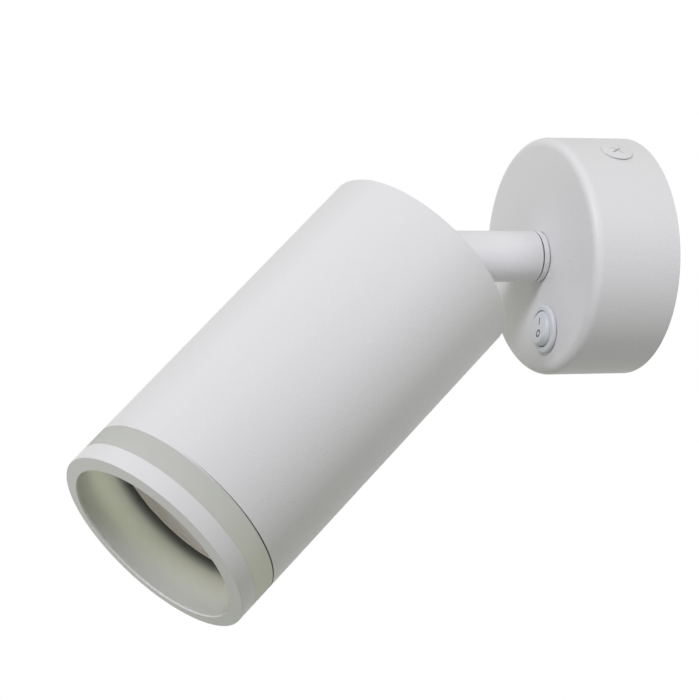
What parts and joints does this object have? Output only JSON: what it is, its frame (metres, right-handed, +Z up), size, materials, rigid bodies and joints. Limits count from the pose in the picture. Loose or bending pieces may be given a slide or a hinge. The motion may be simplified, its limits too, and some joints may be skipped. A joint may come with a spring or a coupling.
{
  "type": "wall spotlight",
  "caption": "White wall spotlight: round canopy with a rocker switch, short swivelling arm, and a tilting tube head with a clear acrylic ring behind its front bezel.",
  "frame": {"origin": "centre of the canopy on the wall plane, midway between the two wall-screw holes", "axes": "+Y into the wall, so the light stands out along -Y; +Z up; +X to the right of someone who faces the wall"},
  "size_m": [0.066, 0.1673, 0.1312],
  "materials": {
    "white_coat": "fine-textured white powder coat",
    "acrylic": "satin",
    "switch_plastic": "satin",
    "zinc_steel": "satin",
    "brass": "satin",
    "holder_ceramic": "matte",
    "black_rubber": "matte",
    "block_plastic": "matte",
    "washer_plastic": "matte",
    "lead_insulation": "matte",
    "lamp_plastic": "matte",
    "lamp_lens": "satin"
  },
  "bodies": {
    "base": {"wall_plate": "zinc_steel", "cable_grommet": "black_rubber", "terminal_block": "block_plastic", "terminal_sleeves": "brass", "terminal_screws": "zinc_steel", "block_screw": "zinc_steel", "earth_washer": "zinc_steel", "earth_screw": "brass", "canopy": "white_coat", "canopy_screws": "white_coat", "swivel_bush": "white_coat", "stop_pin": "zinc_steel", "switch_housing": "switch_plastic", "switch_terminals": "brass", "canopy_leads": "lead_insulation"},
    "rocker": {"switch_rocker": "switch_plastic"},
    "arm": {"arm_tube": "white_coat", "arm_nipple": "zinc_steel", "spring_washer": "zinc_steel", "stop_washer": "zinc_steel", "swivel_nut": "zinc_steel", "hinge_knuckle": "white_coat", "arm_leads": "lead_insulation"},
    "head": {"head_tube": "white_coat", "rear_cap": "white_coat", "cap_bush": "black_rubber", "hinge_screw": "zinc_steel", "hinge_nut": "zinc_steel", "hinge_washers": "washer_plastic", "lamp_bracket": "zinc_steel", "bracket_screws": "zinc_steel", "lamp_holder": "holder_ceramic", "holder_contacts": "brass", "holder_screws": "zinc_steel", "head_leads": "lead_insulation", "lamp_base": "lamp_plastic", "lamp_pins": "brass", "lamp_shell": "lamp_plastic", "lamp_lens": "lamp_lens", "diffuser_ring": "acrylic", "front_bezel": "white_coat"}
  },
  "joints": [
    {"name": "arm_swivel", "type": "hinge", "parent": "base", "child": "arm", "pos_m": [0, -0.0262, 0], "axis": [0, 1, 0], "range_deg": [-163, 163]},
    {"name": "head_tilt", "type": "hinge", "parent": "arm", "child": "head", "pos_m": [0, -0.0616, 0], "axis": [1, 0, 0], "range_deg": [-41.4, 48.6]},
    {"name": "rocker_tip", "type": "hinge", "parent": "base", "child": "rocker", "pos_m": [0, -0.0266, -0.0205], "axis": [1, 0, 0], "range_deg": [0, 26]}
  ]
}
